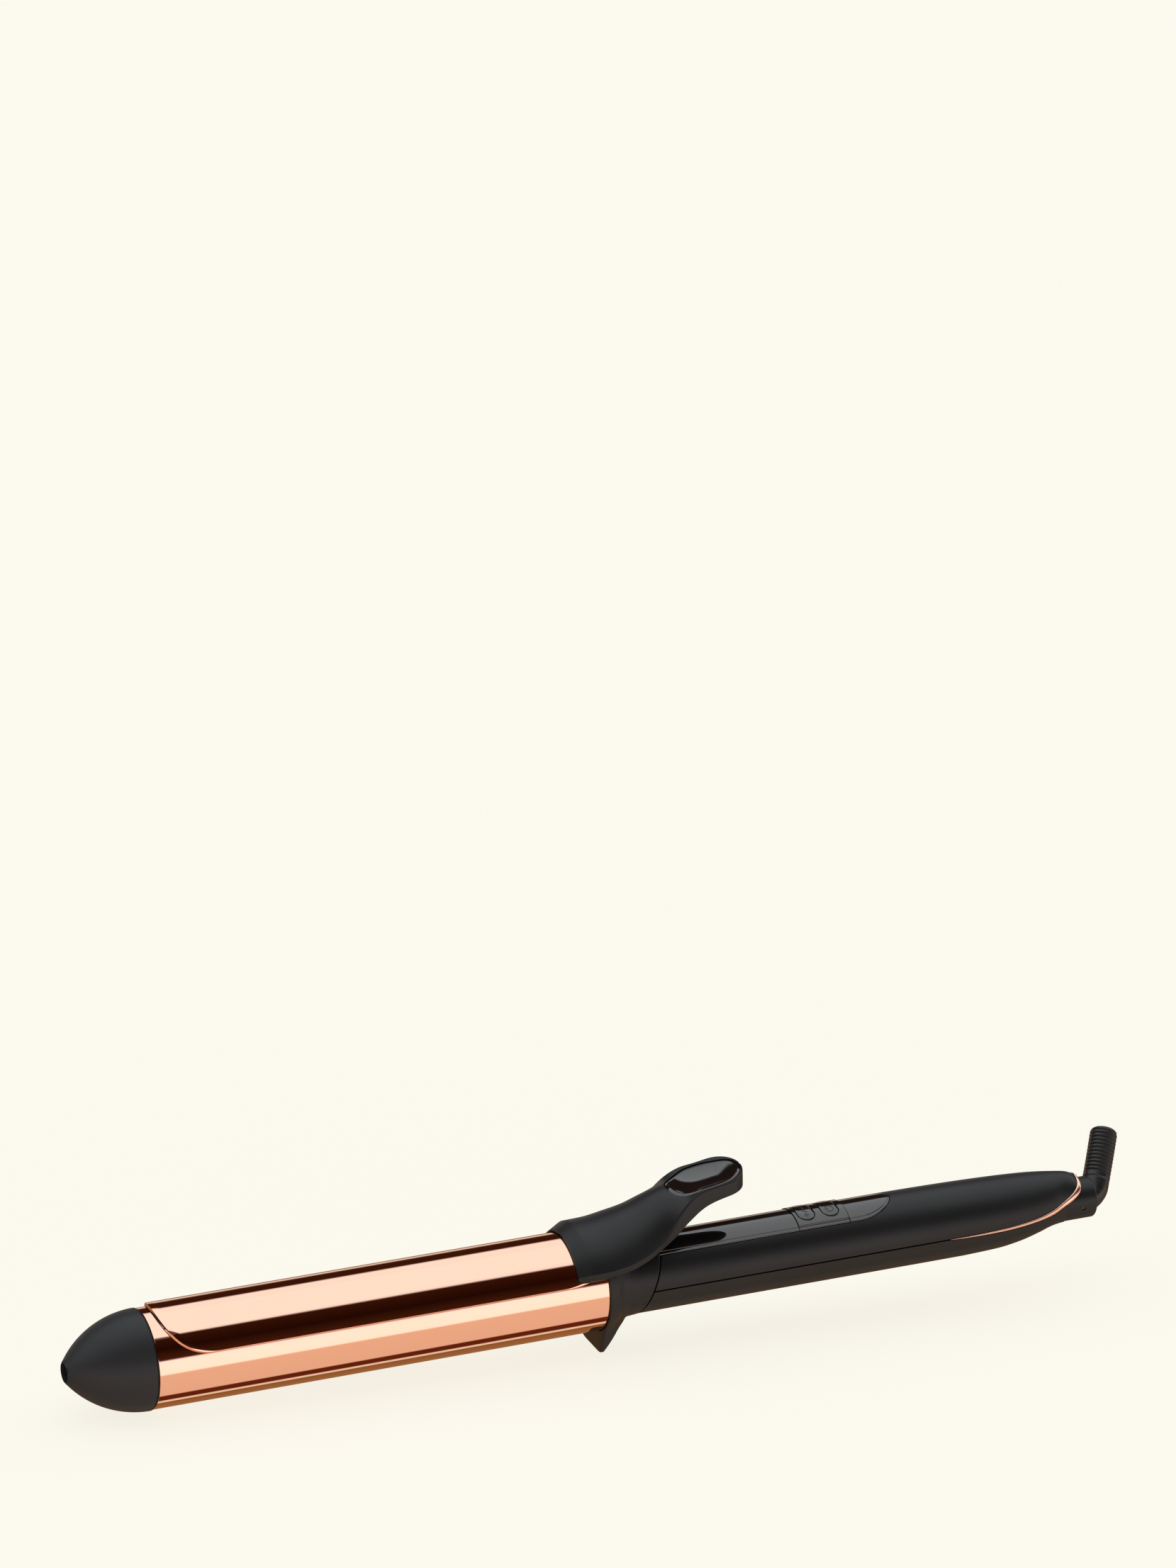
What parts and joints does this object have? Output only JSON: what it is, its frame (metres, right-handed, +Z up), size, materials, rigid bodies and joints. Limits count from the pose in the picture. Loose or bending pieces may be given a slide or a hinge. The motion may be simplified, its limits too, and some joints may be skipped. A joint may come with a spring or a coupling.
{
  "type": "curling iron",
  "caption": "Curling iron: round heated barrel with a cool tip, spring clip with a thumb lever, stand foot, slim handle with a button panel, and a swivelling cord sleeve.",
  "frame": {"origin": "centre of the stand foot's flat sole, at table height", "axes": "+X along the iron from the cool tip towards the cord, level with the table, +Z up; the iron rests on its foot and its cool tip, so its own axis rises by about two degrees towards the cord"},
  "size_m": [0.3616, 0.0362, 0.0562],
  "materials": {
    "rose_gold_barrel": "mirror-polished rose-gold coating",
    "rose_gold_steel": "mirror-polished rose-gold coating on thin sheet",
    "rose_gold_trim": "rose-gold metallised trim",
    "tip_plastic": "matte black, heat resistant",
    "black_soft": "matte black with a fine grain",
    "black_gloss": "polished black",
    "rubber": "satin black",
    "steel": "plated",
    "aluminium": "as extruded",
    "heater_ceramic": "unglazed",
    "insulator": "amber film",
    "board": "green laminate",
    "inner_plastic": "dark grey moulded",
    "wire_red": "red sleeve",
    "wire_blue": "blue sleeve",
    "brass": "turned"
  },
  "bodies": {
    "housing": {"barrel_tube": "rose_gold_barrel", "cool_tip": "tip_plastic", "tip_screw": "steel", "tip_anchor": "steel", "heat_spreader_upper": "aluminium", "heat_spreader_lower": "aluminium", "heater_plate": "heater_ceramic", "insulator_upper": "insulator", "insulator_lower": "insulator", "thermal_fuse": "steel", "barrel_socket": "heater_ceramic", "collar": "black_soft", "hinge_bracket": "steel", "hinge_pin": "steel", "torsion_spring": "steel", "upper_shell": "black_soft", "lower_shell": "black_soft", "trim_band": "rose_gold_trim", "panel_front": "black_gloss", "button_bezel": "black_gloss", "panel_rear": "black_gloss", "circuit_board": "board", "power_switch": "inner_plastic", "temp_switch": "inner_plastic", "capacitor": "inner_plastic", "control_chip": "inner_plastic", "chassis_rib_front": "inner_plastic", "chassis_rib_mid": "inner_plastic", "chassis_rib_rear": "inner_plastic", "shell_screw_front": "steel", "shell_screw_mid": "steel", "shell_screw_rear": "steel", "lead_live": "wire_red", "lead_neutral": "wire_blue", "swivel_bearing": "brass", "brush_front": "brass", "brush_rear": "brass"},
    "clip": {"clip_plate": "rose_gold_steel", "lever": "black_soft", "thumb_inset": "black_gloss", "rivet_left": "steel", "rivet_right": "steel"},
    "power_button": {"power_button": "black_gloss"},
    "temp_button": {"temp_button": "black_gloss"},
    "swivel": {"swivel_stub": "black_soft", "contact_ring_front": "brass", "contact_ring_rear": "brass", "strain_relief": "rubber"}
  },
  "joints": [
    {"name": "clip_hinge", "type": "hinge", "parent": "housing", "child": "clip", "pos_m": [0.00537, 0, 0.0352], "axis": [0, 1, 0], "range_deg": [0, 15], "stiffness_Nm_per_rad": 0.5, "springref_deg": -28.65},
    {"name": "power_button_press", "type": "slide", "parent": "housing", "child": "power_button", "axis": [0.0408, 0, -0.9992], "range_m": [0, 0.0005], "stiffness_N_per_m": 800, "springref_m": -0.001},
    {"name": "temp_button_press", "type": "slide", "parent": "housing", "child": "temp_button", "axis": [0.0408, 0, -0.9992], "range_m": [0, 0.0005], "stiffness_N_per_m": 800, "springref_m": -0.001},
    {"name": "cord_swivel", "type": "hinge", "parent": "housing", "child": "swivel", "pos_m": [0.15979, 0, 0.028], "axis": [0.9992, 0, 0.0408], "continuous": true}
  ]
}
